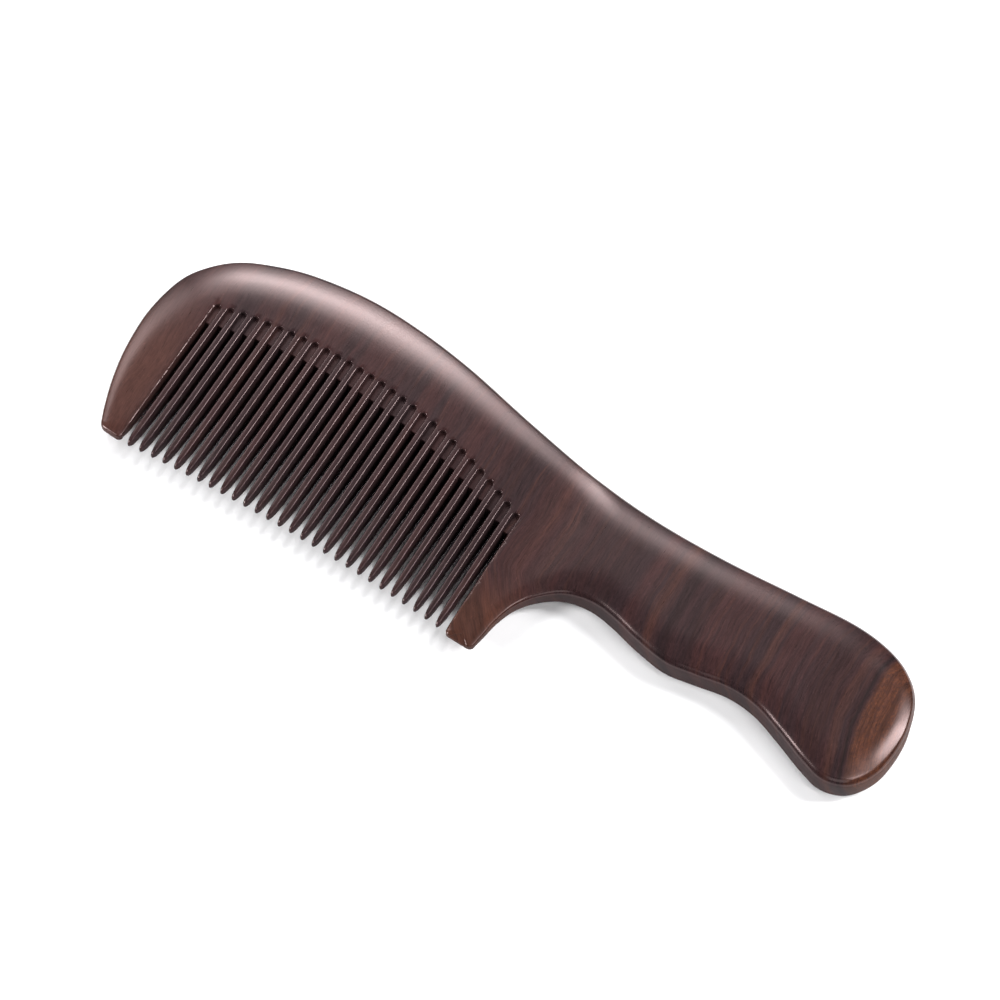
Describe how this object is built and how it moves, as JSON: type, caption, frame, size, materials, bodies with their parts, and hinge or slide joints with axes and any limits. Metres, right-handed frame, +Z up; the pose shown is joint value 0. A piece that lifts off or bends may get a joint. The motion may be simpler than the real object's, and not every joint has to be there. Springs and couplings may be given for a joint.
{
  "type": "handled hair comb",
  "caption": "Hardwood hair comb with a curved spine, rounded teeth set one by one between thick end guards, and a contoured handle with finger hollows.",
  "frame": {"origin": "centre of the footprint of the comb lying flat, on the plane of the face it lies on", "axes": "+X along the comb from the head to the end of the handle, +Y from the tooth tips towards the spine, +Z up, through the thickness"},
  "size_m": [0.2004, 0.0634, 0.01],
  "materials": {
    "back_wood": "satin, hand-rubbed oil and wax over very dark purple-brown hardwood, grain across the handle",
    "tooth_wood": "satin, hand-rubbed oil and wax over very dark purple-brown hardwood, grain along each tooth"
  },
  "bodies": {
    "root": {"comb_back": "back_wood", "tooth_01": "tooth_wood", "tooth_02": "tooth_wood", "tooth_03": "tooth_wood", "tooth_04": "tooth_wood", "tooth_05": "tooth_wood", "tooth_06": "tooth_wood", "tooth_07": "tooth_wood", "tooth_08": "tooth_wood", "tooth_09": "tooth_wood", "tooth_10": "tooth_wood", "tooth_11": "tooth_wood", "tooth_12": "tooth_wood", "tooth_13": "tooth_wood", "tooth_14": "tooth_wood", "tooth_15": "tooth_wood", "tooth_16": "tooth_wood", "tooth_17": "tooth_wood", "tooth_18": "tooth_wood", "tooth_19": "tooth_wood", "tooth_20": "tooth_wood", "tooth_21": "tooth_wood", "tooth_22": "tooth_wood", "tooth_23": "tooth_wood", "tooth_24": "tooth_wood", "tooth_25": "tooth_wood", "tooth_26": "tooth_wood", "tooth_27": "tooth_wood", "tooth_28": "tooth_wood"}
  },
  "joints": []
}
